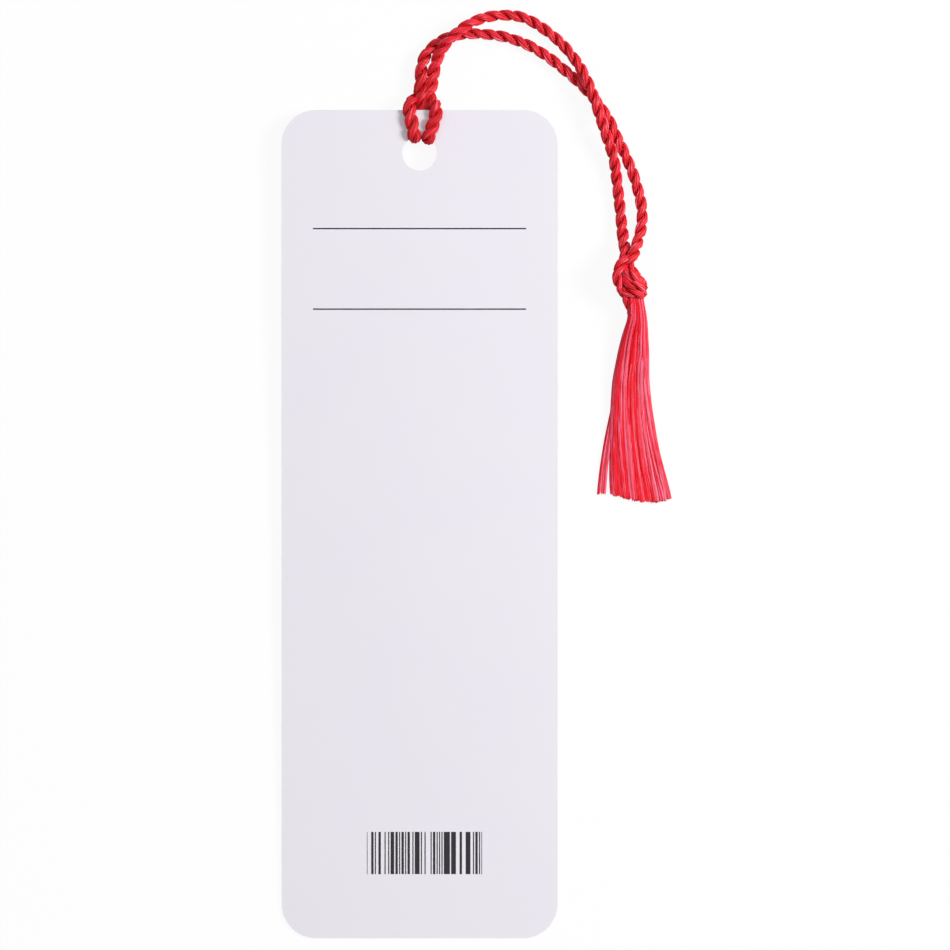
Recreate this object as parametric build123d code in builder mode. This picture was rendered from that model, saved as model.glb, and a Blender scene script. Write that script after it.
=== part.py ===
from build123d import *

import os
from math import atan, cos, pi, radians, sin, sqrt, tan

# A tasselled bookmark lying print side up. Millimetres, X across the card, Y towards the tassel cord.

# Card: one die-cut sheet with round corners and a punched hole.
card_width = 50.8
card_length = 152.4
card_thickness = 0.4
corner_radius = 6.35
hole_diameter = 6.35
hole_inset = 7.94  # from the top edge to the hole's centre

# Cord: one limp twisted cord, folded double, hitched through the hole and knotted near its ends.
cord_diameter = 1.9
cord_sides = 10
squeezed_diameter = 1.5  # the same cord pulled tight in the hitch
seat_clearance = 0.08  # tight cord to card, and tight cord to itself
crest_rise = 0.48  # how far the two legs lift to pass over the folded end
bight_reach = 2.3  # the folded end's distance beyond the card's top edge
v_spread = 5.5  # the hitch's two face strands, centre to centre at the top edge
hole_spread = 2.6  # the same strands in the hole
hitch_shift = 0.55  # the whole hitch sits a little right of the hole's centre
neck_reach = 5.8  # from the top edge to the plane where the loop swivels
neck_height = 2.0
leg_spread = 2.1  # the two legs, centre to centre, at that plane
neck_shift = 0.7  # the legs' middle, right of the hitch's middle
neck_run = 1.2  # straight stretch of each leg on the card's side of that plane
crest_shift = 0.14  # the legs' middle over the folded end, left of their middle at that plane
dive_beyond = 0.7  # where the legs reach the card's underside, beyond its top edge
hole_shift = 0.2  # the strands' middle in the hole, right of the hole's centre
off_line = 0.02  # keeps the runs under the card from lying in one line
swivel_gap = 0.2
crossing_clearance = 0.25  # between the two legs where one lies over the other

# Knot and skirt at the end of the legs.
knot_across = 37.4  # from the middle of the neck
knot_drop = 37.1
knot_radius = 3.3
knot_core_radius = 2.6
wrap_diameter = 1.9
wrap_turns = 1.6
wrap_tilt = 24  # degrees, the wraps' slant across the cord
wrap_steps = 12  # points in each turn
wrap_latitude = 50  # degrees, how far from the knot's middle the wraps start and end
knot_gap = 0.2  # from the leg ends to the turning knot
skirt_seat = 2.5  # from the knot's centre to the flat where the threads leave it
skirt_offset = 1.3  # the threads leave the knot right of its centre
skirt_length = 37.5
root_slice = 1.0
ply_count = 4  # two cord ends of two plies each
strands_per_ply = 4
strand_layers = 4
strand_fill = 0.8  # the share of its room that a strand takes
ply_gap = 0.06
tip_sag = 1.3  # the longest threads hang this far past the shortest
tip_skew = 1.4
ragged = 0.35
ragged_rate = 29  # how fast the ragged ends change across the skirt

# The card leans on the hitch: its bottom edge is on the table and its top end is lifted.
squeezed_radius = squeezed_diameter / 2
under_card = -(squeezed_radius + seat_clearance)
over_card = card_thickness + squeezed_radius + seat_clearance
leg_crest = under_card + crest_rise
bight_level = leg_crest - squeezed_diameter - 2 * seat_clearance
lean = atan((squeezed_radius - bight_level) / (card_length + bight_reach))
card_plane = Plane(
    origin=(0, card_thickness * sin(lean) / 2, card_length / 2 * sin(lean)),
    x_dir=(1, 0, 0),
    z_dir=(0, -sin(lean), cos(lean)),
)


def on_card(across, beyond, above):
    """A point near the card's top: beyond its top edge and above its underside."""
    return card_plane.from_local_coords((across, card_length / 2 + beyond, above))


def bend_radii(route):
    """The largest even arc at each corner of a cord's route."""
    points = [Vector(*point) for point in route]
    radii = []
    for before, corner, after in zip(points, points[1:], points[2:]):
        half_turn = radians((corner - before).get_angle(after - corner)) / 2
        shorter_run = min((corner - before).length, (after - corner).length)
        radii.append(0.45 * shorter_run / tan(half_turn))
    return radii


def cord_tube(name, route, diameter):
    """A cord along straight runs joined by tangent arcs, with flats in place of its round section."""
    radii = bend_radii(route)
    with BuildPart() as tube:
        with BuildLine() as path:
            FilletPolyline(*route, radius=radii)
        run = path.wire()
        with BuildSketch(Plane(origin=run @ 0, z_dir=run % 0)) as section:
            RegularPolygon(diameter / 2, cord_sides)
        sweep()
    filled = tube.part.volume / (section.sketch.area * run.length)
    print(name, "length", round(run.length, 1), "volume share", round(filled, 4))
    print(name, "radii", [round(radius, 1) for radius in radii])
    return tube.part


with BuildPart() as card:
    with BuildSketch(card_plane):
        RectangleRounded(card_width, card_length, corner_radius)
        with Locations((0, card_length / 2 - hole_inset)):
            Circle(hole_diameter / 2, mode=Mode.SUBTRACT)
    extrude(amount=card_thickness)

# Hitch: each leg passes over the folded end and under the card, comes up through the hole,
# and runs up the card's face to the top edge, where the two strands meet in the folded end.
top_edge = on_card(0, 0, 0).Y
swivel_y = top_edge + neck_reach
neck_x = hitch_shift + neck_shift
crest_spread = squeezed_diameter + seat_clearance
hole_path_radius = hole_diameter / 2 - squeezed_radius - seat_clearance


def hitch_half(side):
    """One half of the hitch, from the swivel plane to the folded end; side is -1 left, 1 right."""
    neck = neck_x + side * leg_spread / 2
    crest = neck_x - crest_shift + side * crest_spread / 2
    hole = hole_shift + side * hole_spread / 2
    face = hitch_shift + side * v_spread / 2
    hole_turn = sqrt(hole_path_radius**2 - hole**2) - hole_inset
    swivel_face = swivel_y - swivel_gap / 2
    return [
        Vector(neck, swivel_face, neck_height),
        Vector(neck, swivel_face - neck_run, neck_height),
        on_card(crest, bight_reach, leg_crest),
        on_card(crest, dive_beyond, under_card),
        on_card((crest + hole) / 2, hole_turn / 2, under_card - off_line),
        on_card(hole, hole_turn, under_card),
        on_card(hole, hole_turn, over_card),
        on_card(face - side * 0.1, 0.25, over_card),
        on_card(face + side * 0.1, bight_reach - 0.5, over_card - 0.6),
        on_card(face + side * 0.3, bight_reach + 0.1, bight_level + 1.15),
        on_card(face - side * 0.5, bight_reach + 0.25, bight_level + 0.1),
    ]


folded_end = on_card(hitch_shift, bight_reach + 0.3, bight_level)
hitch_route = hitch_half(-1) + [folded_end] + hitch_half(1)[::-1]

with BuildPart() as cord_hitch:
    add(cord_tube("cord_hitch", hitch_route, squeezed_diameter))

# Legs: routes from the swivel plane to the knot, x and y from the middle of the neck.
# The right leg lies over the left one where they cross, on either side of the arch.
floor = cord_diameter / 2
crossing = floor + cord_diameter + crossing_clearance
left_steps = [
    (-leg_spread / 2, 0, neck_height),
    (-leg_spread / 2, 2.6, neck_height),
    (0.1, 5.4, 1.5),
    (2.8, 7.8, floor),
    (6.6, 8.9, floor),
    (11.0, 8.5, floor),
    (15.8, 7.3, floor),
    (20.6, 5.0, floor),
    (25.2, 1.6, floor),
    (29.6, -2.2, floor),
    (32.6, -6.8, floor),
    (35.2, -11.8, floor),
    (37.8, -16.6, floor),
    (39.5, -21.4, floor),
    (40.0, -25.6, 1.3),
    (39.3, -29.2, 2.5),
    (38.2, -32.2, 3.9),
    (37.2, -34.6, 4.9),
]
right_steps = [
    (leg_spread / 2, 0, neck_height),
    (leg_spread / 2, 2.6, neck_height),
    (2.1, 5.4, 2.5),
    (4.2, 7.8, crossing),
    (6.9, 9.9, crossing),
    (10.0, 11.5, 2.0),
    (13.6, 12.2, floor),
    (17.6, 11.7, floor),
    (21.4, 9.8, floor),
    (24.8, 6.7, 1.2),
    (27.5, 2.9, 2.2),
    (29.6, -1.3, crossing),
    (31.6, -5.9, crossing),
    (33.4, -10.4, crossing - 0.1),
    (34.8, -14.6, 2.1),
    (35.7, -19.2, floor),
    (36.1, -24.0, floor),
    (36.4, -28.4, 1.1),
    (37.1, -32.0, 2.0),
    (37.4, -34.4, 2.5),
]
leg_start = swivel_y + swivel_gap / 2
left_route = [Vector(neck_x + x, leg_start + y, z) for x, y, z in left_steps]
right_route = [Vector(neck_x + x, leg_start + y, z) for x, y, z in right_steps]

knot_centre = Vector(neck_x + knot_across, leg_start - knot_drop, knot_radius)

with BuildPart() as left_leg:
    add(cord_tube("left_leg", left_route, cord_diameter))
    with Locations(knot_centre):
        Sphere(knot_radius + knot_gap, mode=Mode.SUBTRACT)

with BuildPart() as right_leg:
    add(cord_tube("right_leg", right_route, cord_diameter))
    with Locations(knot_centre):
        Sphere(knot_radius + knot_gap, mode=Mode.SUBTRACT)

# Knot: a round core with the cord wound slantwise about it, cut flat where the threads leave.
wrap_path_radius = knot_radius - wrap_diameter / 2
knot_axis = Plane(
    origin=knot_centre,
    x_dir=(0, 0, 1),
    z_dir=(sin(radians(wrap_tilt)), cos(radians(wrap_tilt)), 0),
)
wrap_count = round(wrap_turns * wrap_steps)
wrap_route = []
for step in range(wrap_count + 1):
    turn = 2 * pi * step / wrap_steps
    latitude = radians(wrap_latitude) * (1 - 2 * step / wrap_count)
    ring = wrap_path_radius * cos(latitude)
    point = (ring * cos(turn), ring * sin(turn), wrap_path_radius * sin(latitude))
    wrap_route.append(knot_axis.from_local_coords(point))

skirt_top = knot_centre.Y - skirt_seat

with BuildPart() as tassel_knot:
    with Locations(knot_centre):
        Sphere(knot_core_radius)
    add(cord_tube("tassel_knot", wrap_route, wrap_diameter))
    split(bisect_by=Plane(origin=(0, skirt_top, 0), z_dir=(0, 1, 0)), keep=Keep.TOP)

# Skirt: the cord's four plies unravelled into flat threads that fan out and sink to the table.
# Stations down the skirt: share of the length, middle, width at the table, how much narrower
# the highest layer is, lowest and highest.
skirt_x = knot_centre.X + skirt_offset
stations = [
    (0.01, 0.0, 3.0, 0.0, 1.4, 3.6),
    (0.26, -0.4, 5.4, 0.3, 0.5, 3.0),
    (0.68, -0.9, 9.0, 0.3, 0.05, 2.0),
    (1.00, -0.5, 12.6, 0.3, 0.05, 1.4),
]
root_width, root_low, root_high = stations[0][2], stations[0][4], stations[0][5]
columns = ply_count * strands_per_ply


def thread_tip(share):
    """How far a thread reaches past the skirt's shortest one, by its place across the skirt."""
    return tip_sag * sin(pi * share**tip_skew) + ragged * sin(ragged_rate * share)


def across_skirt(y):
    """A plane square to the skirt, with X across it and Y up."""
    return Plane(origin=(skirt_x, y, 0), x_dir=(1, 0, 0), z_dir=(0, -1, 0))


def skirt_thread(share, rise):
    """One flat thread; share is its place across the skirt and rise its place in the layers."""
    sections = []
    for down, middle, width, narrowing, low, high in stations:
        spread = width * (1 - narrowing * rise)
        reach = down * (skirt_length + thread_tip(share))
        thickness = (high - low) / strand_layers
        with BuildSketch(across_skirt(skirt_top - reach), mode=Mode.PRIVATE) as section:
            with Locations((middle + spread * (share - 0.5), low + (high - low) * rise)):
                Rectangle(strand_fill * spread / columns, strand_fill * thickness)
        sections.append(section.sketch)
    return loft(sections, ruled=True, mode=Mode.PRIVATE)


def ply_fringe(ply):
    """The threads of one unravelled ply, joined to a slice of the ply in the knot."""
    slice_width = root_width / ply_count
    with BuildPart() as fringe:
        with BuildSketch(across_skirt(skirt_top)):
            with Locations((slice_width * (ply + 0.5 - ply_count / 2), (root_low + root_high) / 2)):
                Rectangle(slice_width - ply_gap, root_high - root_low)
        extrude(amount=root_slice)
        threads = []
        for column in range(ply * strands_per_ply, (ply + 1) * strands_per_ply):
            for layer in range(strand_layers):
                threads.append(skirt_thread((column + 0.5) / columns, (layer + 0.5) / strand_layers))
        add(threads)
    return fringe.part


pieces = {
    "card": card.part,
    "cord_hitch": cord_hitch.part,
    "left_leg": left_leg.part,
    "right_leg": right_leg.part,
    "tassel_knot": tassel_knot.part,
}
for ply in range(ply_count):
    pieces[f"skirt_ply_{ply + 1}"] = ply_fringe(ply)

os.makedirs("parts", exist_ok=True)
for name, piece in pieces.items():
    piece.label = name
    export_step(piece, f"parts/{name}.step")

print("card lean in degrees", round(lean * 180 / pi, 3))
print("swivel point", round(neck_x, 3), round(swivel_y, 3), neck_height)
print("sway point", [round(value, 3) for value in knot_centre])
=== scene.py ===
import math

import bpy
import numpy as np
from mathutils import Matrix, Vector


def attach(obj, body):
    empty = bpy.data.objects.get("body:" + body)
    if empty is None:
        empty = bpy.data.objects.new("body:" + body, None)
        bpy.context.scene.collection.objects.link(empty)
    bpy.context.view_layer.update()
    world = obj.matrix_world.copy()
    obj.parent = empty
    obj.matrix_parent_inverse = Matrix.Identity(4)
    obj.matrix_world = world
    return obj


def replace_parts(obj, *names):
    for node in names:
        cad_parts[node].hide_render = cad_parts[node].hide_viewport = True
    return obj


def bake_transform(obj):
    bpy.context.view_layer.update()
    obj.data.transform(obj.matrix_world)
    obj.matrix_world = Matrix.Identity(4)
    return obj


# Tasselled bookmark, lying face up. Lengths in the dictionaries are millimetres.
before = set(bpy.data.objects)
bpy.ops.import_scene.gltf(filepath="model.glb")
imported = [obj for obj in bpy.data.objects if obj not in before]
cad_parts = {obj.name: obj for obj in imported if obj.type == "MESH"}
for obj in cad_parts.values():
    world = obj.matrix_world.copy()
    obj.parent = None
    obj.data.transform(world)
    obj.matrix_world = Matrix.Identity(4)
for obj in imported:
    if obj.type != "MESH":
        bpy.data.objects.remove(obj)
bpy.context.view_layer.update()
mm = 0.001
print("frame loaded:", sorted(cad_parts))


# Node helpers

def newMaterial(name):
    material = bpy.data.materials.new(name)
    material.use_nodes = True
    return material, material.node_tree.nodes, material.node_tree.links


def mathNode(tree, operation, *values):
    node = tree.nodes.new("ShaderNodeMath")
    node.operation = operation
    for socket, value in zip(node.inputs, values):
        if isinstance(value, (int, float)):
            socket.default_value = value
        else:
            tree.links.new(value, socket)
    return node.outputs[0]


def mixColour(tree, factor, first, second):
    node = tree.nodes.new("ShaderNodeMix")
    node.data_type = "RGBA"
    # A mix node keeps its colours in sockets 6 and 7
    for socket, value in ((node.inputs[0], factor), (node.inputs[6], first), (node.inputs[7], second)):
        if isinstance(value, (int, float)):
            socket.default_value = value
        elif isinstance(value, tuple):
            socket.default_value = (*value, 1)
        else:
            tree.links.new(value, socket)
    return node.outputs[2]


def mapRange(tree, value, fromLow, fromHigh, toLow, toHigh):
    node = tree.nodes.new("ShaderNodeMapRange")
    tree.links.new(value, node.inputs[0])
    for index, number in enumerate((fromLow, fromHigh, toLow, toHigh)):
        node.inputs[index + 1].default_value = number
    return node.outputs[0]


def noiseNode(tree, vector, scale, detail=2.0, roughness=0.5):
    node = tree.nodes.new("ShaderNodeTexNoise")
    tree.links.new(vector, node.inputs["Vector"])
    node.inputs["Scale"].default_value = scale
    node.inputs["Detail"].default_value = detail
    node.inputs["Roughness"].default_value = roughness
    return node.outputs[0]


# Shared effect: lustrous fibres, streaked along the thread they lie in, with painted shade and
# highlight: Deep and Bright are shaded and lit copies of Body

fibre = {
    "inputs": {
        "Coordinates": "Vector",
        "Tone": "Float", "Across": "Float", "Along": "Float", "Contrast": "Float",
        "Deep": "Color", "Body": "Color", "Bright": "Color",
    },
    "outputs": {"Colour": "Color", "Roughness": "Float", "Height": "Float"},
    "streakScale": 1.0,
    "streakDetail": 3.0,
    "streakRoughness": 0.6,
    "streakRange": (0.25, 0.75),
    "patchScale": 0.23,
    "patchDetail": 1.0,
    "patchRange": (0.3, 0.7),
    "patchTone": 0.12,
    "bodyTones": (-0.5, 0.1),  # where the deep colour, on the cord a painted shade, passes into the body colour
    "brightTones": (0.15, 0.85),  # where the body colour passes into the bright one, partly a painted highlight
    "lustreTones": (-0.5, 0.5),  # where the fibres turn from dull to glossy
    "lustreRoughness": (0.70, 0.36),
    "bumpDistance": 0.04,
}


def makeFibreGroup():
    group = bpy.data.node_groups.new("fibreLustre", "ShaderNodeTree")
    for direction, sockets in (("INPUT", fibre["inputs"]), ("OUTPUT", fibre["outputs"])):
        for name, kind in sockets.items():
            group.interface.new_socket(name=name, in_out=direction, socket_type="NodeSocket" + kind)
    inside = group.nodes.new("NodeGroupInput")
    outside = group.nodes.new("NodeGroupOutput")
    split = group.nodes.new("ShaderNodeSeparateXYZ")
    group.links.new(inside.outputs["Coordinates"], split.inputs[0])
    stretched = group.nodes.new("ShaderNodeCombineXYZ")
    across = mathNode(group, "MULTIPLY", split.outputs[0], inside.outputs["Across"])
    along = mathNode(group, "MULTIPLY", split.outputs[1], inside.outputs["Along"])
    group.links.new(across, stretched.inputs[0])
    group.links.new(along, stretched.inputs[1])
    streak = noiseNode(
        group, stretched.outputs[0],
        fibre["streakScale"], fibre["streakDetail"], fibre["streakRoughness"],
    )
    patch = noiseNode(group, stretched.outputs[0], fibre["patchScale"], fibre["patchDetail"])
    patchTone = mapRange(group, patch, *fibre["patchRange"], -fibre["patchTone"], fibre["patchTone"])
    shade = mapRange(group, streak, *fibre["streakRange"], -1.0, 1.0)
    shade = mathNode(group, "MULTIPLY", shade, inside.outputs["Contrast"])
    shade = mathNode(group, "ADD", shade, inside.outputs["Tone"])
    shade = mathNode(group, "ADD", shade, patchTone)
    bodyShare = mapRange(group, shade, *fibre["bodyTones"], 0, 1)
    brightShare = mapRange(group, shade, *fibre["brightTones"], 0, 1)
    low = mixColour(group, bodyShare, inside.outputs["Deep"], inside.outputs["Body"])
    full = mixColour(group, brightShare, low, inside.outputs["Bright"])
    rough = mapRange(group, shade, *fibre["lustreTones"], *fibre["lustreRoughness"])
    group.links.new(full, outside.inputs["Colour"])
    group.links.new(rough, outside.inputs["Roughness"])
    group.links.new(streak, outside.inputs["Height"])
    return group


fibreGroup = makeFibreGroup()


def fibreMaterial(name, look):
    material, nodes, links = newMaterial(name)
    shader = nodes["Principled BSDF"]
    uv = nodes.new("ShaderNodeUVMap")
    uv.uv_map = "fibreUv"
    # The tone holds random variation together with painted shade and light
    tone = nodes.new("ShaderNodeAttribute")
    tone.attribute_name = "fibreToneAndPaintedLight"
    lustre = nodes.new("ShaderNodeGroup")
    lustre.node_tree = fibreGroup
    links.new(uv.outputs[0], lustre.inputs["Coordinates"])
    links.new(tone.outputs["Fac"], lustre.inputs["Tone"])
    lustre.inputs["Across"].default_value = look["streaksAcross"]
    lustre.inputs["Along"].default_value = look["streaksAlong"]
    lustre.inputs["Contrast"].default_value = look["streakContrast"]
    for colour in ("Deep", "Body", "Bright"):
        lustre.inputs[colour].default_value = (*look[colour.lower()], 1)
    bump = nodes.new("ShaderNodeBump")
    bump.inputs["Strength"].default_value = look["bump"]
    bump.inputs["Distance"].default_value = fibre["bumpDistance"] * mm
    links.new(lustre.outputs["Height"], bump.inputs["Height"])
    links.new(bump.outputs[0], shader.inputs["Normal"])
    links.new(lustre.outputs["Colour"], shader.inputs["Base Color"])
    links.new(lustre.outputs["Roughness"], shader.inputs["Roughness"])
    shader.inputs["Specular IOR Level"].default_value = look["gloss"]
    return material


# Card: coated stock with a satin face, two writing lines and a block of plain bars

card = {
    "stock": (0.835, 0.80, 0.87),
    "paleStock": (0.855, 0.83, 0.885),
    "speck": (0.72, 0.70, 0.76),
    "edge": (0.80, 0.78, 0.83),
    "ink": (0.021, 0.02, 0.024),
    "faceLimit": 0.5,  # a surface that tilts further than this belongs to the edge
    "cloudScale": 55.0,
    "cloudRange": (0.35, 0.65),
    "cloudShare": 0.25,  # of the paler stock, at most
    "fibreScale": 2600.0,
    "fibreDetail": 3.0,
    "fibreRoughness": 0.6,
    "fibreRange": (0.3, 0.7),
    "speckShare": 0.06,
    "lineLevels": (54.4, 39.6),  # up the card from its middle
    "lineReach": 19.6,
    "lineWidth": 0.26,
    "barMiddle": (0.9, -60.5),
    "barSize": (21.2, 7.8),
    "barModule": 0.223,
    "barShare": 0.52,  # of the modules that are inked
    "roughness": (0.42, 0.52),
    "gloss": 0.4,
    "bump": 0.12,
    "bumpDistance": 0.02,
}


def cardMaterial():
    material, nodes, links = newMaterial("cardStock")
    tree = material.node_tree
    shader = nodes["Principled BSDF"]
    place = nodes.new("ShaderNodeTexCoord")
    split = nodes.new("ShaderNodeSeparateXYZ")
    links.new(place.outputs["Object"], split.inputs[0])
    x, y = split.outputs[0], split.outputs[1]
    facing = nodes.new("ShaderNodeSeparateXYZ")
    links.new(place.outputs["Normal"], facing.inputs[0])
    upward = mathNode(tree, "GREATER_THAN", facing.outputs[2], card["faceLimit"])
    tilt = mathNode(tree, "ABSOLUTE", facing.outputs[2])
    sideways = mathNode(tree, "LESS_THAN", tilt, card["faceLimit"])
    lines = 0.0
    for level in card["lineLevels"]:
        row = mathNode(tree, "COMPARE", y, level * mm, card["lineWidth"] * mm / 2)
        lines = mathNode(tree, "MAXIMUM", lines, row)
    lineWindow = mathNode(tree, "COMPARE", x, 0.0, card["lineReach"] * mm)
    lines = mathNode(tree, "MULTIPLY", lines, lineWindow)
    middleX, middleY = card["barMiddle"]
    sizeX, sizeY = card["barSize"]
    barWindow = mathNode(
        tree, "MULTIPLY",
        mathNode(tree, "COMPARE", x, middleX * mm, sizeX * mm / 2),
        mathNode(tree, "COMPARE", y, middleY * mm, sizeY * mm / 2),
    )
    barNumber = mathNode(tree, "FLOOR", mathNode(tree, "DIVIDE", x, card["barModule"] * mm))
    chance = nodes.new("ShaderNodeTexWhiteNoise")
    chance.noise_dimensions = "1D"
    links.new(barNumber, chance.inputs["W"])
    inked = mathNode(tree, "LESS_THAN", chance.outputs["Value"], card["barShare"])
    bars = mathNode(tree, "MULTIPLY", barWindow, inked)
    ink = mathNode(tree, "MULTIPLY", mathNode(tree, "MAXIMUM", lines, bars), upward)
    fibres = noiseNode(
        tree, place.outputs["Object"], card["fibreScale"], card["fibreDetail"], card["fibreRoughness"]
    )
    cloud = noiseNode(tree, place.outputs["Object"], card["cloudScale"])
    paleShare = mapRange(tree, cloud, *card["cloudRange"], 0.0, card["cloudShare"])
    speckShare = mapRange(tree, fibres, *card["fibreRange"], card["speckShare"], 0.0)
    stock = mixColour(tree, paleShare, card["stock"], card["paleStock"])
    stock = mixColour(tree, speckShare, stock, card["speck"])
    stock = mixColour(tree, sideways, stock, card["edge"])
    links.new(mixColour(tree, ink, stock, card["ink"]), shader.inputs["Base Color"])
    rough = mapRange(tree, fibres, *card["fibreRange"], *card["roughness"])
    links.new(rough, shader.inputs["Roughness"])
    bump = nodes.new("ShaderNodeBump")
    bump.inputs["Strength"].default_value = card["bump"]
    bump.inputs["Distance"].default_value = card["bumpDistance"] * mm
    links.new(fibres, bump.inputs["Height"])
    links.new(bump.outputs[0], shader.inputs["Normal"])
    shader.inputs["Specular IOR Level"].default_value = card["gloss"]
    return material


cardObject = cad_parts["card"]
cardObject.data.materials.clear()
cardObject.data.materials.append(cardMaterial())
print("card dressed")


# Cord: two plies laid together, each a bundle of yarns

cord = {
    "diameter": 2.0,
    "plyCount": 2,
    "layPitch": 5.26,
    "layStart": 0.44,  # in turns, at the back of the hitch
    "laySlip": (0.11, -0.20, 0.26),  # turns gained: left leg, right lobe, right leg
    "plyOffset": 0.50,  # from the cord's middle to a ply's middle
    "plyHalfDepth": 0.52,
    "plyHalfWidth": 0.75,
    "yarns": 7,
    "pointsPerYarn": 6,
    "yarnSizes": (0.93, 1.05),
    "grooveDepth": 0.26,  # share of the ply's radius
    "grooveSharpness": 1.6,
    "counterTwist": 1.0,  # the yarns turn back against the lay, so they run along their ply
    "yarnTones": (-0.10, 0.62),
    # painted shade: the grooves between the yarns are darkened
    "paintedGrooveShade": -0.50,
    "paintedFlankShade": -0.50,  # painted shade: a ply is darkened towards its flanks, so it is brightest along its crest
    "step": 0.22,
    "lineOrder": 3,
    "lineResolution": 24,
    "leastRun": 1e-6,  # closer points count as one
    "fewestSteps": 4,
    "uprightLimit": 0.1,  # a line nearer to upright than this takes its side from x
    "floorLevel": 1.08,
    "crossingRise": 2.05,
    "pressHeight": 0.68,  # the hitch flattens against the card
    "pressWidth": 1.25,
    "paintedPressShade": -0.32,  # painted shade: the hitch is darkened where it is pressed flat under the legs and against the card
    "neckTaper": 30,  # stations over which the neck's fullness dies away
    "endTaper": 20,
}
cordLook = {
    "streaksAcross": 26.0,
    "streaksAlong": 0.7,
    "streakContrast": 0.85,
    # painted shade: the shaded copy of the cord's red, reached in grooves, on flanks and on the pressed
    # hitch
    "deep": (0.56, 0.002, 0.007),
    "body": (0.90, 0.009, 0.032),
    # partly a painted highlight: the lit, pinker copy of the cord's red, reached along the crests and
    # on random bright yarns
    "bright": (0.94, 0.22, 0.34),
    "bump": 0.5,
    "gloss": 0.45,
}
cordMaterial = fibreMaterial("twistedCord", cordLook)


def smoothLine(name, points):
    curve = bpy.data.curves.new(name, "CURVE")
    curve.dimensions = "3D"
    curve.resolution_u = cord["lineResolution"]
    spline = curve.splines.new("NURBS")
    spline.points.add(len(points) - 1)
    for control, point in zip(spline.points, points):
        control.co = (*point, 1)
    spline.order_u = cord["lineOrder"]
    spline.use_endpoint_u = True
    holder = bpy.data.objects.new(name, curve)
    bpy.context.scene.collection.objects.link(holder)
    bpy.context.view_layer.update()
    drawn = bpy.data.meshes.new_from_object(holder)
    line = np.array([vertex.co for vertex in drawn.vertices])
    bpy.data.objects.remove(holder)
    bpy.data.curves.remove(curve)
    bpy.data.meshes.remove(drawn)
    return line


def evenSteps(line, step):
    runs = np.linalg.norm(np.diff(line, axis=0), axis=1)
    keep = np.concatenate([[True], runs > cord["leastRun"] * mm])
    line = line[keep]
    reach = np.concatenate([[0], np.cumsum(np.linalg.norm(np.diff(line, axis=0), axis=1))])
    count = max(cord["fewestSteps"], round(reach[-1] / step))
    stations = np.linspace(0, reach[-1], count + 1)
    return np.stack([np.interp(stations, reach, line[:, k]) for k in range(3)], axis=1), stations


def carriedFrames(line):
    ahead = np.gradient(line, axis=0)
    ahead /= np.linalg.norm(ahead, axis=1)[:, None]
    side = np.cross(ahead[0], (0.0, 0.0, 1.0))
    if np.linalg.norm(side) < cord["uprightLimit"]:
        side = np.cross(ahead[0], (1.0, 0.0, 0.0))
    sides = [side / np.linalg.norm(side)]
    for direction in ahead[1:]:
        carried = sides[-1] - direction * np.dot(sides[-1], direction)
        sides.append(carried / np.linalg.norm(carried))
    sides = np.array(sides)
    return ahead, sides, np.cross(ahead, sides)


def layPlies(line, stations, thickness=None, press=None, slip=0.0, seed=1):
    # Rings of each ply along a line: shape (ply, station, point, 3), with a tone for each point: random
    # per yarn, plus painted shade in the grooves, on the flanks and where pressed
    ahead, side, up = carriedFrames(line)
    draws = np.random.default_rng(seed)
    around = cord["yarns"] * cord["pointsPerYarn"]
    turn = 2 * math.pi * (stations / (cord["layPitch"] * mm) + cord["layStart"] + slip)
    thickness = np.ones(len(line)) if thickness is None else thickness
    rings, tones = [], []
    for ply in range(cord["plyCount"]):
        angle = turn + 2 * math.pi * ply / cord["plyCount"]
        outward = np.cos(angle)[:, None] * side + np.sin(angle)[:, None] * up
        tangent = np.cross(ahead, outward)
        yarnTone = draws.uniform(*cord["yarnTones"], cord["yarns"])
        yarnSize = draws.uniform(*cord["yarnSizes"], cord["yarns"])
        ring, tone = [], []
        for point in range(around):
            yarn, place = divmod(point, cord["pointsPerYarn"])
            groove = abs(2 * place / cord["pointsPerYarn"] - 1)  # 1 in a groove, 0 on a yarn's crown
            size = yarnSize[yarn] * (1 - cord["grooveDepth"] * groove ** cord["grooveSharpness"])
            theta = 2 * math.pi * point / around - cord["counterTwist"] * turn
            depth = cord["plyOffset"] + cord["plyHalfDepth"] * size * np.cos(theta)
            width = cord["plyHalfWidth"] * size * np.sin(theta)
            ring.append((outward * depth[:, None] + tangent * width[:, None]) * thickness[:, None] * mm)
            # painted shade: darker into the grooves and round the flanks away from the crest
            flank = (1 - np.cos(theta)) / 2
            tone.append(yarnTone[yarn] + cord["paintedGrooveShade"] * groove + cord["paintedFlankShade"] * flank)
        rings.append(np.stack(ring, axis=1))
        tones.append(np.stack(tone, axis=1))
    rings, tones = np.array(rings), np.array(tones)
    if press is not None:
        amount, flat = press
        # painted shade on the pressed hitch
        tones = tones + cord["paintedPressShade"] * amount[None, :, None]
        edge = np.cross(ahead, flat)
        share = amount[None, :, None]
        high = np.einsum("psij,sj->psi", rings, flat)
        wide = np.einsum("psij,sj->psi", rings, edge)
        rings = rings + (high * share * (cord["pressHeight"] - 1))[..., None] * flat[None, :, None, :]
        rings = rings + (wide * share * (cord["pressWidth"] - 1))[..., None] * edge[None, :, None, :]
    return rings + line[None, :, None, :], tones


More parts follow.
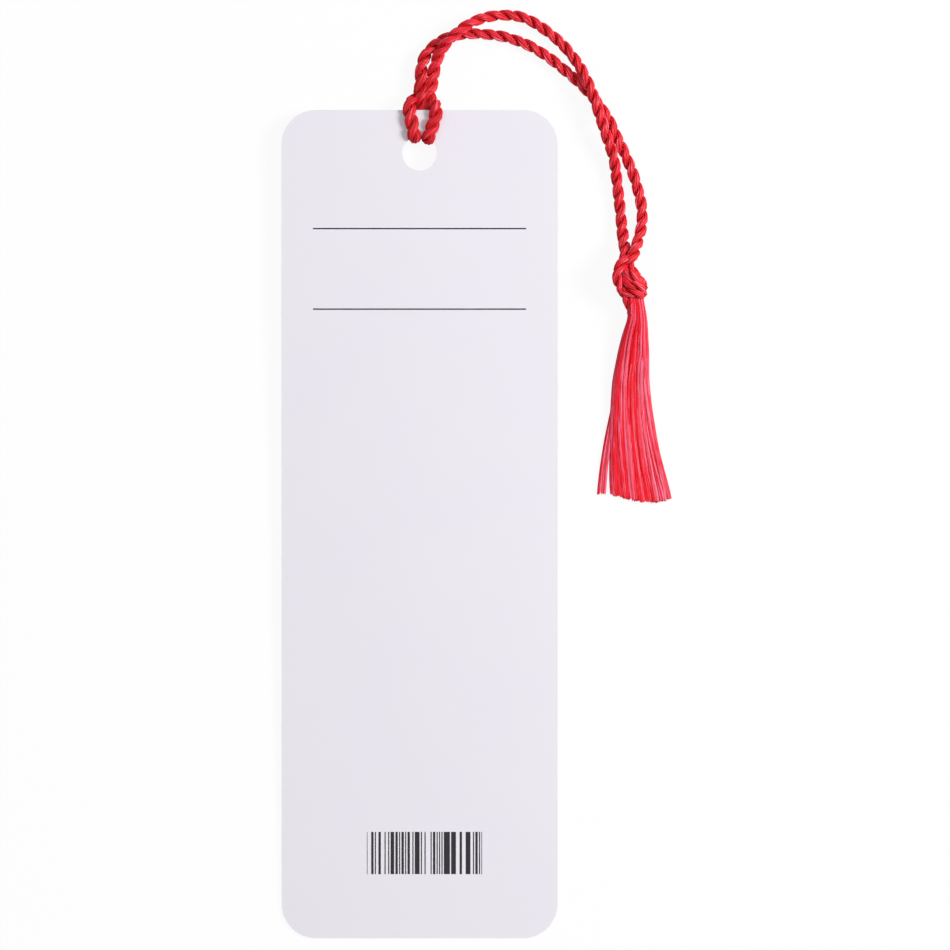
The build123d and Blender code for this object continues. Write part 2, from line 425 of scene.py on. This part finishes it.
def skinTubes(name, tubes, material, smooth=True):
    # One mesh from closed tubes; each is (rings, tones, distance along)
    points, faces, uvs, tones = [], [], [], []
    for rings, tone, along in tubes:
        start = len(points)
        count, around = rings.shape[:2]
        points.extend(rings.reshape(-1, 3).tolist())
        tones.extend(np.broadcast_to(tone, (count, around)).ravel().tolist())
        for row in range(count - 1):
            for column in range(around):
                after = (column + 1) % around
                low, high = start + row * around, start + (row + 1) * around
                faces.append((low + column, low + after, high + after, high + column))
                left, right = column / around, (column + 1) / around
                near, far = along[row], along[row + 1]
                uvs.extend(((left, near), (right, near), (right, far), (left, far)))
        for row, order in ((0, -1), (count - 1, 1)):
            rim = list(range(start + row * around, start + (row + 1) * around))[::order]
            faces.append(tuple(rim))
            uvs.extend(((k / around, along[row]) for k in range(around)))
    mesh = bpy.data.meshes.new(name)
    mesh.from_pydata(points, [], faces)
    layer = mesh.uv_layers.new(name="fibreUv")
    layer.data.foreach_set("uv", np.array(uvs, np.float32).ravel())
    attribute = mesh.attributes.new("fibreToneAndPaintedLight", "FLOAT", "POINT")
    attribute.data.foreach_set("value", np.array(tones, np.float32))
    mesh.polygons.foreach_set("use_smooth", [smooth] * len(mesh.polygons))
    mesh.materials.append(material)
    mesh.update()
    piece = bpy.data.objects.new(name, mesh)
    bpy.context.scene.collection.objects.link(piece)
    return piece


# The card leans on the hitch, so hitch points are given on the card:
# across, beyond its top edge and above its underside

lean = {"halfLength": 76.2, "thickness": 0.4, "angle": math.radians(1.0223)}


def onCard(across, beyond, above):
    slope, rise = math.cos(lean["angle"]), math.sin(lean["angle"])
    along = lean["halfLength"] + beyond
    y = lean["thickness"] * rise / 2 + along * slope - above * rise
    z = lean["halfLength"] * rise + along * rise + above * slope
    return (across, y, z)


hitch = {
    "underCard": -0.80,
    "overCard": 1.12,
    "crestLevel": -0.33,
    "crestReach": 2.3,
    "dipReach": 0.7,
    "legCrest": (0.10, 1.72),
    "hole": (-0.88, 1.43),
    "holeTurn": (-5.36, -5.52),
    "holeLevel": 0.2,
    "face": (-1.98, 3.13),
    "faceReach": (-1.9, 0.1),
    "faceLean": (0.54, 0.34),
    "pressedFace": (-1.7, 2.6),  # where each half lies flattest
    "pressedReach": -2.0,
    "lobeLean": (0.50, 0.38),
    "lobeSteps": ((0.0, -0.35, 0.57), (0.05, 0.05, -0.83), (0.8, 0.1, -1.88)),
    "foldMiddle": 0.55,
    "foldReach": (1.85, 1.62),
    "foldSlack": 0.1,
    "foldLevel": -1.98,
    "neck": (0.20, 2.12),
    "neckLevel": 2.0,
    "neckStart": 80.69,
}


def hitchHalf(half):
    side = (-1, 1)[half]
    crest, hole, face = hitch["legCrest"][half], hitch["hole"][half], hitch["face"][half]
    turn, fold, lobe = hitch["holeTurn"][half], hitch["foldReach"][half], hitch["lobeLean"][half]
    under, over = hitch["underCard"], hitch["overCard"]
    faceLow, faceHigh = hitch["faceReach"]
    points = [
        (hitch["neck"][half], hitch["neckStart"], hitch["neckLevel"]),
        onCard(crest, hitch["crestReach"], hitch["crestLevel"]),
        onCard(crest, hitch["dipReach"], under),
        onCard((crest + hole) / 2, turn / 2, under),
        onCard(hole, turn, under),
        onCard(hole, turn, over),
        onCard(face - side * hitch["faceLean"][half], faceLow, over),
        onCard(face, faceHigh, over),
    ]
    for inward, beyond, above in hitch["lobeSteps"]:
        points.append(onCard(face - side * (lobe + inward), fold + beyond, above))
    return points


foldedEnd = onCard(
    hitch["foldMiddle"], sum(hitch["foldReach"]) / 2 + hitch["foldSlack"], hitch["foldLevel"]
)

# Legs: x and y from the middle of the neck; the right one lies over the left one at both crossings.
# At the knot the left one ends inside, under the right one,
# which is the knot's left lobe and ends in the skirt.
neckMiddle = (1.25, 82.091)
onFloor = cord["floorLevel"]
onCord = onFloor + cord["crossingRise"]
leftSteps = [
    (-0.88, 2.6, 1.9),
    (0.40, 5.2, 1.5),
    (3.2, 7.4, onFloor),
    (6.8, 8.2, onFloor),
    (10.95, 8.22, onFloor),
    (15.78, 7.42, onFloor),
    (20.7, 5.22, onFloor),
    (25.28, 1.72, onFloor),
    (29.64, -2.15, onFloor),
    (33.1, -6.55, onFloor),
    (35.42, -11.65, onFloor),
    (37.72, -16.55, onFloor),
    (39.24, -21.4, onFloor),
    (39.85, -25.4, 1.3),
    (39.32, -28.6, 2.3),
    (38.65, -30.75, 3.6),
    (38.2, -32.25, 4.6),
    (37.55, -33.35, 4.9),
    (36.8, -33.95, 4.2),
    (36.3, -34.7, 2.9),
    (36.3, -35.7, 2.3),
]
rightSteps = [
    (1.60, 2.6, 2.1),
    (2.65, 5.2, 2.6),
    (4.6, 7.5, onCord),
    (7.1, 9.55, onCord),
    (10.05, 11.05, 2.0),
    (13.6, 11.75, onFloor),
    (17.67, 11.5, onFloor),
    (21.3, 9.45, onFloor),
    (24.8, 6.68, 1.2),
    (27.75, 3.05, 2.2),
    (29.95, -1.1, onCord),
    (31.6, -5.9, onCord),
    (33.05, -10.5, onCord - 0.1),
    (34.55, -14.6, 2.1),
    (35.12, -19.2, onFloor),
    (35.68, -24.0, onFloor),
    (36.08, -28.2, 1.2),
    (36.38, -30.5, 2.2),
    (36.74, -32.0, 3.4),
    (36.45, -33.4, 4.9),
    (35.55, -34.6, 5.7),
    (34.95, -35.9, 5.75),
    (35.05, -37.4, 5.6),
    (35.5, -38.6, 5.2),
    (36.15, -39.75, 4.4),
    (36.7, -41.0, 3.6),
    (37.2, -42.2, 3.0),
    (37.5, -43.8, 2.4),
]


def fromNeck(steps):
    return [(neckMiddle[0] + x, neckMiddle[1] + y, z) for x, y, z in steps]


# One line runs through the whole cord, so the lay passes unbroken from leg to hitch to leg
leftHalf = fromNeck(leftSteps)[::-1] + hitchHalf(0)
rightHalf = hitchHalf(1)[::-1] + fromNeck(rightSteps)
cordRoute = np.array(leftHalf + [foldedEnd] + rightHalf) * mm
cordLine, cordReach = evenSteps(smoothLine("cordRoute", cordRoute), cord["step"] * mm)
lastStation = len(cordLine) - 1


def nearestStation(point):
    return int(np.argmin(np.linalg.norm(cordLine - np.array(point) * mm, axis=1)))


def walkTo(index, direction, level):
    falling = cordLine[index, 1] > level * mm
    while (cordLine[index, 1] > level * mm) == falling:
        index += direction
    return index


# Levels along y where the cord is cut into pieces or changes its fullness
zones = {
    "neckLow": 79.4,
    "neckHigh": 85.0,
    "legEnd": 55.2,
    "bendTop": 54.0,  # top of the cord's bend into the knot; bendLow is its low end inside the knot
    "bendLow": 43.5,
    "bendEnd": 42.3,
    "knotHigh": 51.6,
    "knotLow": 47.6,
    "knotMiddle": 38.65,  # across
    "knotLevel": 3.3,  # above the table
}
foldIndex = nearestStation(foldedEnd)
leftLow = walkTo(foldIndex, -1, zones["neckLow"])
leftHigh = walkTo(leftLow, -1, zones["neckHigh"])
rightLow = walkTo(foldIndex, 1, zones["neckLow"])
rightHigh = walkTo(rightLow, 1, zones["neckHigh"])
leftKnot = walkTo(walkTo(0, 1, zones["knotLow"]), 1, zones["knotHigh"])
leftTuck = walkTo(leftKnot, -1, zones["knotLow"])
rightTop = int(np.argmax(np.where(np.arange(lastStation + 1) > rightHigh, cordLine[:, 1], -1)))
rightKnot = walkTo(rightTop, 1, zones["knotHigh"])
rightTuck = walkTo(rightKnot, 1, zones["knotLow"])
leftEnd = walkTo(leftKnot, 1, zones["legEnd"])
rightEnd = walkTo(rightKnot, -1, zones["legEnd"])
rightBend = walkTo(rightKnot, 1, zones["bendEnd"])


def alongCord(pairs):
    # A value at every station, from pairs of a station and its value
    stations, values = zip(*pairs)
    return np.interp(np.arange(lastStation + 1), stations, values)


# Pressed flat against the card, round the hole's rim and under the legs;
# round at the lobes and along the legs
cardNormal = np.array((0.0, -math.sin(lean["angle"]), math.cos(lean["angle"])))
leftFace, rightFace = (
    nearestStation(onCard(across, hitch["pressedReach"], hitch["overCard"]))
    for across in hitch["pressedFace"]
)
leftLobe, rightLobe = (nearestStation(hitchHalf(half)[-2]) for half in (0, 1))
leftHole, rightHole = (
    nearestStation(onCard(across, turn, hitch["holeLevel"]))
    for across, turn in zip(hitch["hole"], hitch["holeTurn"])
)
# These amounts also set the painted shade on the hitch
pressAmount = alongCord([
    (leftHigh, 0.0),
    (leftLow, 0.9),
    (leftHole, 0.65),
    (leftFace, 1.0),
    (leftLobe, 0.3),
    (foldIndex, 1.0),
    (rightLobe, 0.3),
    (rightFace, 1.0),
    (rightHole, 0.60),
    (rightLow, 0.9),
    (rightHigh, 0.0),
])
# Pulling the hitch tight works a little twist out into the legs
leftSlip, lobeSlip, rightSlip = cord["laySlip"]
laySlip = alongCord([
    (leftHigh, leftSlip),
    (leftLow, 0.0),
    (foldIndex, 0.0),
    (rightLobe, lobeSlip),
    (rightLow, rightSlip),
])


def carryNormal(normals, first, last, normal):
    step = 1 if last > first else -1
    ahead = np.gradient(cordLine, axis=0)
    for index in range(first, last + step, step):
        direction = ahead[index] / np.linalg.norm(ahead[index])
        normal = normal - direction * np.dot(normal, direction)
        normal = normal / np.linalg.norm(normal)
        normals[index] = normal


pressNormals = np.tile((1.0, 0.0, 0.0), (lastStation + 1, 1))
for face, lobe, end in ((leftFace, leftLobe, leftHigh), (rightFace, rightLobe, rightHigh)):
    carryNormal(pressNormals, face, end, cardNormal)
    carryNormal(pressNormals, face, lobe, cardNormal)
carryNormal(pressNormals, foldIndex, leftLobe + 1, cardNormal)
carryNormal(pressNormals, foldIndex, rightLobe - 1, cardNormal)

# Fuller at the neck and above the knot, thinner at both ends, in the knot and in the skirt
cordFullness = alongCord([
    (0, 0.80),
    (leftTuck, 1.0),
    (leftKnot, 1.06),
    (leftHigh - cord["neckTaper"], 1.0),
    (leftHigh, 1.12),
    (foldIndex, 1.0),
    (rightHigh, 1.12),
    (rightHigh + cord["neckTaper"], 1.0),
    (rightEnd, 1.05),
    (rightKnot, 1.15),
    (rightTuck, 1.0),
    (lastStation - cord["endTaper"], 0.70),
    (lastStation, 0.45),
])
fromFold = cordReach - cordReach[foldIndex]
plies, plyTones = layPlies(cordLine, fromFold, cordFullness, (pressAmount, pressNormals), laySlip)


def cordTubes(spans):
    return [
        (plies[ply, first:last + 1], plyTones[ply, first:last + 1], cordReach[first:last + 1] / mm)
        for first, last in spans
        for ply in range(cord["plyCount"])
    ]


def cordStretch(name, spans):
    return skinTubes(name, cordTubes(spans), cordMaterial)


hitchPiece = cordStretch("larksHeadHitch", [(leftLow, rightLow)])
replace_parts(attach(hitchPiece, "card"), "cord_hitch")
leftLeg = cordStretch("leftLegCord", [(leftEnd, leftHigh)])
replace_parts(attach(leftLeg, "loop"), "left_leg")
rightLeg = cordStretch("rightLegCord", [(rightHigh, rightEnd)])
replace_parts(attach(rightLeg, "loop"), "right_leg")
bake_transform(cordStretch("cordNeck", [(leftHigh, leftLow), (rightLow, rightHigh)]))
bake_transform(cordStretch("knotTuck", [(0, leftEnd), (rightEnd, rightBend)]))
print("cord laid:", len(cordLine), "stations,", round(cordReach[-1] / mm, 1), "mm")


# Knot: turns of the cord wound slantwise about a core

knot = {
    "centre": (38.65, 44.99, 0.0),
    "core": (2.15, 2.6, 2.5),
    "coreLevel": 3.2,
    "coreRings": 14,
    "coreSides": 24,
    "coreGap": 0.15,  # radians cut off flat at both ends
    "coreTone": -0.2,
    "firstSeed": 20,
}
knotTurns = {
    "waist": {"fullness": 0.88, "points": [
        (-1.8, 0.3, 4.0),
        (-1.1, -0.45, 5.0),
        (0.4, -0.95, 5.6),
        (1.9, -1.3, 5.1),
        (2.65, -1.5, 3.5),
        (1.9, -1.4, 1.6),
        (0.2, -1.2, 0.95),
        (-1.3, -1.2, 1.6),
        (-1.75, -1.7, 3.0),
        (-1.2, -2.2, 4.4),
        (0.3, -2.4, 5.1),
        (1.9, -2.6, 4.6),
        (2.6, -2.75, 3.4),
        (1.5, -2.6, 1.9),
        (0.0, -2.5, 1.4),
        (-0.9, -2.3, 2.2),
    ]},
    "belly": {"fullness": 0.74, "points": [
        (-1.5, 1.3, 3.4),
        (-0.9, 0.8, 4.6),
        (0.1, 0.2, 5.35),
        (1.2, -0.25, 5.25),
        (2.2, -0.6, 4.5),
        (2.6, -0.7, 3.2),
        (1.9, -0.6, 1.5),
        (0.2, -0.2, 0.95),
        (-1.4, 0.1, 1.5),
        (-2.0, 0.3, 2.8),
    ]},
    "shoulder": {"fullness": 0.88, "points": [
        (-1.3, 2.5, 3.2),
        (-0.8, 2.1, 4.5),
        (-0.1, 1.3, 5.4),
        (0.75, 0.5, 5.55),
        (1.65, -0.1, 4.95),
        (2.2, -0.45, 3.6),
        (1.8, 0.0, 1.6),
        (0.3, 0.5, 1.0),
        (-1.3, 0.7, 1.6),
        (-2.0, 0.8, 2.9),
    ]},
    "crown": {"fullness": 0.74, "points": [
        (-0.2, 3.2, 3.2),
        (0.3, 2.6, 4.1),
        (0.7, 1.6, 4.5),
        (1.1, 0.7, 4.3),
        (1.5, 0.3, 3.2),
        (1.3, 1.1, 1.7),
        (0.1, 1.8, 1.4),
        (-1.2, 1.9, 2.2),
    ]},
}


def aboutKnot(points):
    return (np.array(points) + np.array(knot["centre"])) * mm


def knotTubes():
    tubes = []
    for number, turn in enumerate(knotTurns.values()):
        line, reach = evenSteps(smoothLine("knotTurn", aboutKnot(turn["points"])), cord["step"] * mm)
        fullness = np.full(len(line), turn["fullness"])
        rings, tones = layPlies(line, reach, fullness, seed=knot["firstSeed"] + number)
        for ply in range(cord["plyCount"]):
            tubes.append((rings[ply], tones[ply], reach / mm))
    return tubes


def knotCore():
    highest = math.pi / 2 - knot["coreGap"]
    latitudes = np.linspace(-highest, highest, knot["coreRings"])
    wide, tall, deep = knot["core"]
    rings = []
    for latitude in latitudes:
        ring = []
        for step in range(knot["coreSides"]):
            turn = 2 * math.pi * step / knot["coreSides"]
            ring.append((
                wide * math.cos(latitude) * math.cos(turn),
                tall * math.sin(latitude),
                knot["coreLevel"] - deep * math.cos(latitude) * math.sin(turn),
            ))
        rings.append(ring)
    return (aboutKnot(rings), knot["coreTone"], latitudes)


tuckedEnd = cordTubes([(rightBend, lastStation)])
knotPiece = skinTubes("tasselKnot", [knotCore()] + knotTubes() + tuckedEnd, cordMaterial)
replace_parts(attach(knotPiece, "tassel"), "tassel_knot")
print("knot tied")


# Skirt: the plies below the knot, combed out into threads that fall in locks

skirt = {
    "top": 42.5,  # inside the knot
    "plies": 4,
    "firstSeed": 40,
    "columnsPerPly": 6,
    "columnShifts": (0.25, 0.75),  # every other layer is set over by half a column
    "layerLevels": (0.10, 0.42, 0.72, 0.88),
    "lockShift": 0.15,
    "lockLift": 0.05,
    "lockLimits": (0.03, 0.97),
    "lockSpread": 0.58,  # of a column's width, each side
    "lockWidths": (0.75, 1.45),
    "lockCrown": 0.08,
    "lockTones": (-0.25, 0.0, 0.10, 0.30),
    "lockToneShares": (0.2, 0.35, 0.3, 0.15),
    "lockToneDrift": 0.08,
    "lockRagged": 0.22,
    "threadsPerLock": 8,
    "threadWidth": 0.24,
    "threadDepth": 0.08,
    "threadScatter": 0.10,
    "threadLift": 0.05,
    "threadTones": (-0.35, 0.0, 0.45),
    "threadToneShares": (0.12, 0.68, 0.2),
    "threadToneDrift": 0.1,
    "threadRagged": 0.10,
    "threadTwist": 0.2,
    "threadTwistGain": 0.25,
    "streakShift": 400,
    "segments": 30,
    "tipPlaces": (0.0, 0.31, 0.54, 0.82, 0.94, 1.0),  # across the bottom, with how far each hangs
    "tipDrops": (36.75, 37.75, 38.25, 38.2, 37.75, 36.65),
    "tipStart": 0.985,
    "tipTaper": 0.6,
    "wave": 0.20,
    "waveSizes": (0.3, 1.0),
    "waveRates": (0.8, 1.8),
    "drift": 0.07,  # locks lie across one another, by a share of the width
    "weave": 0.10,
    "domePower": 8,  # the skirt is lower towards its sides
    "domeDepth": 0.9,
    "domeLeast": 0.05,
    "easeReach": 40,
    "easeSamples": 161,
    "easeWindow": 19,
    "paintedEdgeLight": 0.42,  # painted light: both sides of the skirt are lightened, as if light shone through them
    "edgePower": 4,
}
# Below the top: drop, left and right edge, lowest and highest
skirtStations = np.array([
    (0.0, 38.10, 41.00, 2.2, 4.3),
    (1.5, 38.45, 41.15, 1.8, 4.1),
    (4.5, 38.50, 41.80, 1.0, 3.6),
    (7.1, 37.50, 41.95, 0.5, 3.2),
    (10.6, 36.60, 42.20, 0.2, 2.7),
    (16.1, 35.55, 42.15, 0.12, 2.1),
    (21.6, 35.25, 42.72, 0.12, 1.7),
    (27.2, 35.05, 43.65, 0.12, 1.45),
    (32.5, 35.10, 44.85, 0.12, 1.2),
    (38.5, 35.36, 46.40, 0.12, 1.0),
])
# Two locks stray to the left from partway down, by their reach at the tips
strayLocks = {
    "start": 21.5,
    "reach": (2.5, 1.85),
    "across": (0.025, 0.05),
    "level": 0.5,
    "spread": 0.033,
    # painted light: the stray locks are lightened further
    "tone": 0.20,
}
skirtLook = {
    "streaksAcross": 2.0,
    "streaksAlong": 0.35,
    "streakContrast": 0.5,
    "deep": (0.84, 0.003, 0.008),
    "body": (0.88, 0.018, 0.038),
    # partly a painted highlight: the lit, pinker copy of the threads' red, reached on random bright
    # threads and at the lightened sides
    "bright": (0.88, 0.19, 0.30),
    "bump": 0.2,
    "gloss": 0.13,
}
threadMaterial = fibreMaterial("tasselThread", skirtLook)


def easedStation(drop, column):
    fine = np.linspace(0, skirt["easeReach"], skirt["easeSamples"])
    rough = np.interp(fine, skirtStations[:, 0], skirtStations[:, column])
    weights = np.hanning(skirt["easeWindow"])[1:-1]
    padded = np.pad(rough, len(weights) // 2, mode="edge")
    eased = np.convolve(padded, weights / weights.sum(), "valid")
    return np.interp(drop, fine, eased)


def eitherWay(draws, amount):
    return draws.uniform(-amount, amount)


def threadTube(across, height, length, draws, lockWave, tone, stray):
    share = np.linspace(0, 1, skirt["segments"])
    drop = length * share
    left, right = easedStation(drop, 1), easedStation(drop, 2)
    low, high = easedStation(drop, 3), easedStation(drop, 4)
    place = 2 * across - 1
    dome = math.sqrt(max(skirt["domeLeast"], 1 - abs(place) ** skirt["domePower"] * skirt["domeDepth"]))
    waves = lockWave["rate"] * share
    sway = lockWave["size"] * share * np.sin(2 * math.pi * (waves + lockWave["phase"]))
    loose = np.clip((drop - strayLocks["start"]) / (length - strayLocks["start"]), 0, 1)
    aside = np.clip(across + lockWave["drift"] * (share - 0.5), 0.0, 1.0) if stray == 0 else across
    x = left + (right - left) * aside + sway - stray * loose
    y = skirt["top"] - drop
    lift = skirt["weave"] * np.sin(2 * math.pi * (waves + lockWave["lift"]))
    z = low + (high - low) * np.clip(height + lift, 0.0, 1.0) * dome
    line = np.stack([x, y, z], axis=1) * mm
    ahead = np.gradient(line, axis=0)
    ahead /= np.linalg.norm(ahead, axis=1)[:, None]
    twist = eitherWay(draws, skirt["threadTwist"]) + eitherWay(draws, skirt["threadTwistGain"]) * share
    side = np.cross(ahead, (0.0, 0.0, 1.0))
    side /= np.linalg.norm(side, axis=1)[:, None]
    up = np.cross(side, ahead)
    flat = np.cos(twist)[:, None] * side + np.sin(twist)[:, None] * up
    thin = np.cross(ahead, flat)
    taper = np.where(share > skirt["tipStart"], skirt["tipTaper"], 1.0)[:, None]
    wide = flat * skirt["threadWidth"] / 2 * mm * taper
    deep = thin * skirt["threadDepth"] / 2 * mm * taper
    rings = np.stack([line + wide, line + deep, line - wide, line - deep], axis=1)
    return rings, tone, drop + draws.uniform(0, skirt["streakShift"])


def lockThreads(middle, level, width, draws, stray=0.0):
    lockWave = {
        "size": draws.uniform(*skirt["waveSizes"]) * skirt["wave"],
        "rate": draws.uniform(*skirt["waveRates"]),
        "phase": draws.uniform(0, 1),
        "lift": draws.uniform(0, 1),
        "drift": draws.uniform(-1, 1) * skirt["drift"],
    }
    lockTone = draws.choice(skirt["lockTones"], p=skirt["lockToneShares"])
    lockTone += eitherWay(draws, skirt["lockToneDrift"])
    # painted light towards both sides of the skirt
    paintedEdgeLight = skirt["paintedEdgeLight"] * (2 * middle - 1) ** skirt["edgePower"]
    lockTone += paintedEdgeLight + (strayLocks["tone"] if stray else 0.0)
    length = np.interp(middle, skirt["tipPlaces"], skirt["tipDrops"])
    length += draws.uniform(-1, 1) * skirt["lockRagged"]
    tubes = []
    for thread in range(skirt["threadsPerLock"]):
        place = 2 * (thread + 0.5) / skirt["threadsPerLock"] - 1
        across = middle + width * (place + draws.normal(0, skirt["threadScatter"]))
        crown = skirt["lockCrown"] * (1 - place * place)
        height = np.clip(level + crown + draws.normal(0, skirt["threadLift"]), 0.0, 1.0)
        ragged = draws.normal(0, 1) * skirt["threadRagged"]
        tone = lockTone + draws.choice(skirt["threadTones"], p=skirt["threadToneShares"])
        tone += eitherWay(draws, skirt["threadToneDrift"])
        tubes.append(threadTube(across, height, length + ragged, draws, lockWave, tone, stray))
    return tubes


def plyThreads(ply):
    draws = np.random.default_rng(skirt["firstSeed"] + ply)
    perPly = skirt["columnsPerPly"]
    columns = skirt["plies"] * perPly
    tubes = []
    for layer, layerLevel in enumerate(skirt["layerLevels"]):
        for column in range(ply * perPly, (ply + 1) * perPly):
            shift = skirt["columnShifts"][layer % 2] + eitherWay(draws, skirt["lockShift"])
            middle = np.clip((column + shift) / columns, *skirt["lockLimits"])
            level = layerLevel + eitherWay(draws, skirt["lockLift"])
            width = skirt["lockSpread"] / columns * draws.uniform(*skirt["lockWidths"])
            tubes.extend(lockThreads(middle, level, width, draws))
    if ply == 0:
        for across, reach in zip(strayLocks["across"], strayLocks["reach"]):
            tubes.extend(lockThreads(across, strayLocks["level"], strayLocks["spread"], draws, reach))
    return tubes


for ply in range(skirt["plies"]):
    fringe = skinTubes(f"skirtPly{ply + 1}", plyThreads(ply), threadMaterial, smooth=False)
    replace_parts(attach(fringe, "tassel"), f"skirt_ply_{ply + 1}")
print("skirt combed out")


# Stage: pale floor, soft light from the right, camera straight above

stage = {
    "floorSize": 4000.0,
    "floorLevel": -0.02,
    "floorColour": (0.93, 0.93, 0.93),
    "floorRoughness": 0.9,
    "floorGloss": 0.1,
    "glowStrength": 1.0,
    "glowShare": 0.92,  # where the camera sees the floor, so its shadows stay faint
    "lamps": {
        "keyFromRight": {"place": (700.0, 160.0, 580.0), "size": 360.0, "energy": 7.4},
        "topFill": {"place": (-150.0, 450.0, 1500.0), "size": 1000.0, "energy": 3.6},
    },
    "worldLevel": 0.34,
    "cameraPlace": (10.2, 9.1),
    "cameraHeight": 1400.0,
    "frameWidth": 175.0,
    "sensorWidth": 36.0,
}
bpy.ops.object.select_all(action="DESELECT")
bpy.ops.mesh.primitive_plane_add(
    size=stage["floorSize"] * mm, location=(0, 0, stage["floorLevel"] * mm)
)
floor = bpy.context.object
floor.name = "floor"
floorMaterial, floorNodes, floorLinks = newMaterial("paleFloor")
floorTree = floorMaterial.node_tree
floorShader = floorNodes["Principled BSDF"]
floorShader.inputs["Base Color"].default_value = (*stage["floorColour"], 1)
floorShader.inputs["Roughness"].default_value = stage["floorRoughness"]
floorShader.inputs["Specular IOR Level"].default_value = stage["floorGloss"]
floorGlow = floorNodes.new("ShaderNodeEmission")
floorGlow.inputs["Color"].default_value = (1, 1, 1, 1)
floorGlow.inputs["Strength"].default_value = stage["glowStrength"]
floorMix = floorNodes.new("ShaderNodeMixShader")
seen = floorNodes.new("ShaderNodeLightPath")
direct = mathNode(floorTree, "MAXIMUM", seen.outputs["Is Camera Ray"], seen.outputs["Is Glossy Ray"])
direct = mathNode(floorTree, "MAXIMUM", direct, seen.outputs["Is Transmission Ray"])
glowShare = mathNode(floorTree, "MULTIPLY", direct, stage["glowShare"])
floorLinks.new(glowShare, floorMix.inputs[0])
floorLinks.new(floorShader.outputs[0], floorMix.inputs[1])
floorLinks.new(floorGlow.outputs[0], floorMix.inputs[2])
floorLinks.new(floorMix.outputs[0], floorNodes["Material Output"].inputs["Surface"])
floor.data.materials.append(floorMaterial)


def softLight(name, place, size, energy):
    lamp = bpy.data.lights.new(name, "AREA")
    lamp.shape = "DISK"
    lamp.size = size * mm
    lamp.energy = energy
    holder = bpy.data.objects.new(name, lamp)
    holder.location = Vector(place) * mm
    holder.rotation_euler = (-Vector(place)).to_track_quat("-Z", "Y").to_euler()
    bpy.context.scene.collection.objects.link(holder)


for name, lamp in stage["lamps"].items():
    softLight(name, **lamp)

world = bpy.data.worlds.new("studio")
world.use_nodes = True
background = world.node_tree.nodes["Background"]
background.inputs["Color"].default_value = (1, 1, 1, 1)
background.inputs["Strength"].default_value = stage["worldLevel"]
bpy.context.scene.world = world

lens = bpy.data.cameras.new("camera")
lens.sensor_width = stage["sensorWidth"]
lens.lens = stage["sensorWidth"] * stage["cameraHeight"] / stage["frameWidth"]
camera = bpy.data.objects.new("camera", lens)
camera.location = (*(value * mm for value in stage["cameraPlace"]), stage["cameraHeight"] * mm)
bpy.context.scene.collection.objects.link(camera)
bpy.context.scene.camera = camera
bpy.context.scene.view_settings.view_transform = "Standard"
print("stage set")
